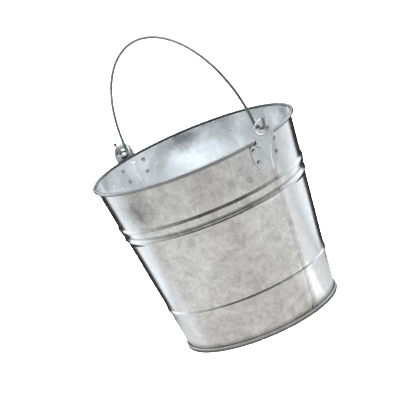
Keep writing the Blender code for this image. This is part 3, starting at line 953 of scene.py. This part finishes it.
def build_camera():
    forward = -CAMERA_AWAY.normalized()
    level_right = forward.cross(Vector((0, 0, 1))).normalized()
    level_up = level_right.cross(forward)
    up = level_up * math.cos(CAMERA_ROLL) + level_right * math.sin(CAMERA_ROLL)
    right = forward.cross(up)
    rotation = Matrix((right, up, -forward)).transposed().to_4x4()
    data = bpy.data.cameras.new("camera")
    data.lens = CAMERA_LENS
    data.sensor_width = 36.0
    camera = bpy.data.objects.new("camera", data)
    camera.matrix_world = Matrix.Translation(CAMERA_TARGET + CAMERA_AWAY) @ rotation
    bpy.context.scene.collection.objects.link(camera)
    bpy.context.scene.camera = camera


def build_world():
    """A white studio. Dark cards stand behind the bucket, left and right, and a dark gap lies
    above the camera: the zinc mirrors them as its dark edges and creases. Diffuse rays, and no
    others, get a much stronger light from above, and the camera sees plain white."""
    world = bpy.data.worlds.new("studio")
    world.use_nodes = True
    bpy.context.scene.world = world
    nodes = Nodes(world.node_tree)
    nodes.tree.nodes.clear()
    direction = nodes.add("ShaderNodeTexCoord").outputs["Generated"]
    towards = nodes.add("ShaderNodeVectorMath", operation="DOT_PRODUCT")
    nodes.feed(towards.inputs[0], direction)
    towards.inputs[1].default_value = (math.cos(CAMERA_AZIMUTH), math.sin(CAMERA_AZIMUTH), 0)
    height = nodes.split(direction)["Z"]
    level_part = nodes.math("SUBTRACT", 1.0, nodes.math("MULTIPLY", height, height))
    level_part = nodes.math("SQRT", nodes.math("MAXIMUM", level_part, 0.001))
    turned = nodes.math("DIVIDE", towards.outputs["Value"], level_part)
    front = nodes.remap(turned, 0, 1, -1, 1)
    level = nodes.remap(height, 0, 1, -1, 1)

    rays = nodes.add("ShaderNodeLightPath").outputs
    up = nodes.blend(rays["Is Diffuse Ray"], nodes.ramp(level, WORLD_UP), nodes.ramp(level, WORLD_UP_MATT))
    light = nodes.blend(1.0, nodes.ramp(front, WORLD_ROUND), up, "MULTIPLY")
    under_top = nodes.math("SUBTRACT", 1.0, nodes.ramp(level, WORLD_CARD_TOP))
    light = nodes.blend(under_top, light, nodes.ramp(front, WORLD_CARD), "MULTIPLY")
    in_gap = nodes.math("MULTIPLY", nodes.ramp(front, WORLD_NEAR), nodes.ramp(level, WORLD_ABOVE))
    light = nodes.blend(in_gap, light, WORLD_GAP)

    seen = nodes.blend(rays["Is Camera Ray"], light, grey(1.0))
    background = nodes.add("ShaderNodeBackground")
    nodes.feed(background.inputs["Color"], seen)
    output = nodes.add("ShaderNodeOutputWorld")
    nodes.feed(output.inputs["Surface"], background.outputs[0])


def flat_disc(name, half_x, half_y, material):
    bm = bmesh.new()
    bmesh.ops.create_circle(bm, cap_ends=True, segments=96, radius=1.0)
    bmesh.ops.scale(bm, vec=(half_x, half_y, 1.0), verts=bm.verts[:])
    mesh = mesh_from(bm, name)
    mesh.materials.append(material)
    disc = bpy.data.objects.new(name, mesh)
    bpy.context.scene.collection.objects.link(disc)
    return disc


def build_floor():
    material = bpy.data.materials.new("floor_white")
    material.use_nodes = True
    shader = material.node_tree.nodes["Principled BSDF"]
    shader.inputs["Base Color"].default_value = grey(FLOOR_WHITE)
    shader.inputs["Roughness"].default_value = FLOOR_ROUGHNESS
    shader.inputs["Emission Color"].default_value = grey(1.0)
    shader.inputs["Emission Strength"].default_value = FLOOR_GLOW
    floor = flat_disc("floor", FLOOR_HALF, FLOOR_HALF, material)
    floor.location.z = FLOOR_HEIGHT
    floor.visible_glossy = False


def build_card():
    """The white card that only reflections see."""
    material = bpy.data.materials.new("card_white")
    material.use_nodes = True
    nodes = Nodes(material.node_tree)
    nodes.tree.nodes.clear()
    place = nodes.add("ShaderNodeTexCoord").outputs["Object"]
    spot = nodes.split(place)
    across = nodes.ramp(nodes.remap(spot["Y"], 0, 1, -CARD_SPAN / 2, CARD_SPAN / 2), CARD_ACROSS)
    towards = nodes.ramp(nodes.remap(spot["X"], 0, 1, -CARD_SPAN / 2, CARD_SPAN / 2), CARD_TOWARDS)
    light = nodes.blend(1.0, across, towards, "MULTIPLY")
    # Painted shadow of the bucket on the card round its foot
    light = nodes.blend(1.0, light, nodes.ramp(from_axis(nodes, place), CARD_FOOT_SHADOW), "MULTIPLY")
    glare = CARD_GLARE
    for value, spans in ((spot["X"], CARD_GLARE_TOWARDS), (spot["Y"], CARD_GLARE_ACROSS)):
        glare = nodes.math("MULTIPLY", glare, nodes.remap(value, 0, 1, *spans[0]))
        glare = nodes.math("MULTIPLY", glare, nodes.remap(value, 1, 0, *spans[1]))
    light = nodes.blend(1.0, light, glare, "ADD")
    shares = []
    for value, middle, half in ((spot["X"], CARD_MIDDLE, CARD_HALF[0]), (spot["Y"], CARD_SIDE, CARD_HALF[1])):
        share = nodes.math("DIVIDE", nodes.math("SUBTRACT", value, middle), half)
        shares.append(nodes.math("MULTIPLY", share, share))
    edge = nodes.ramp(nodes.math("SQRT", nodes.math("ADD", *shares)), CARD_EDGE)
    glow = nodes.add("ShaderNodeEmission")
    nodes.feed(glow.inputs["Color"], light)
    clear = nodes.add("ShaderNodeBsdfTransparent")
    mixed = nodes.add("ShaderNodeMixShader")
    nodes.feed(mixed.inputs[0], edge)
    nodes.feed(mixed.inputs[1], glow.outputs[0])
    nodes.feed(mixed.inputs[2], clear.outputs[0])
    output = nodes.add("ShaderNodeOutputMaterial")
    nodes.feed(output.inputs["Surface"], mixed.outputs[0])
    card = flat_disc("card", 1.0, 1.0, material)
    card.location.z = CARD_HEIGHT
    card.rotation_euler.z = CAMERA_AZIMUTH
    card.visible_camera = False
    card.visible_diffuse = False
    card.visible_shadow = False
    card.visible_transmission = False


# --- assembly --------------------------------------------------------------------------------


def build_bucket():
    outside = galvanised("zinc_outside", SLEEK, crystal=6 * MM, grain=3 * MM, relief=0.3, part="wall")
    inside = galvanised("zinc_inside", INSIDE, crystal=4 * MM, grain=2.5 * MM, relief=0.02, part="inside")
    foot = galvanised("zinc_foot", FOOT, crystal=6 * MM, grain=2 * MM, relief=0.25, part="foot")
    plate = galvanised("zinc_plate", EAR, crystal=6 * MM, grain=2 * MM, relief=0.25, part="ear")
    rivet = galvanised("zinc_rivet", RIVET, crystal=3 * MM, grain=0.8 * MM, relief=0.2)
    wire = galvanised("zinc_wire_drawn", WIRE, crystal=3 * MM, grain=0.8 * MM, relief=0.3)

    for name, turn in (("body_half_back", 0.0), ("body_half_front", math.pi)):
        mesh = body_half_mesh(name + "_sheet", turn)
        mesh.materials.append(inside)
        obj = piece(name + "_sheet", mesh, outside, "bucket", name)
        solidify(obj, SHEET)
        obj.modifiers["sheet"].material_offset = 1
        obj.modifiers["sheet"].material_offset_rim = 1
    for name, turn in (("ear_right", 0.0), ("ear_left", math.pi)):
        obj = piece(name + "_sheet", ear_mesh(name + "_sheet", turn), plate, "bucket", name)
        solidify(obj, EAR_SHEET)
    for name, matrix in rivet_places():
        piece(name + "_round", rivet_mesh(matrix), rivet, "bucket", name)
    pan = piece("base_pan_sheet", base_pan_mesh(), foot, "bucket", "base_pan")
    solidify(pan, SHEET)
    rim = (RIM_CURL_MIDDLE, RIM_HEIGHT)
    rim_mesh = ring_mesh("rim_wire_round", rim, RIM_WIRE, 12)
    piece("rim_wire_round", rim_mesh, wire, "bucket", "rim_wire")
    seal = (FOOT_RADIUS + 2 * LAYER, PAN_TURN_HEIGHT)
    seal_mesh = ring_mesh("base_seam_seal_round", seal, SEAL_RADIUS, 8)
    compound = sealing_compound()
    piece("base_seam_seal_round", seal_mesh, compound, "bucket", "base_seam_seal")
    piece("bail_wire_round", bail_mesh(), wire, "bail", "bail_wire")


def main():
    bpy.context.scene.view_settings.view_transform = "Standard"
    build_camera()
    build_world()
    build_floor()
    build_card()
    build_bucket()


main()
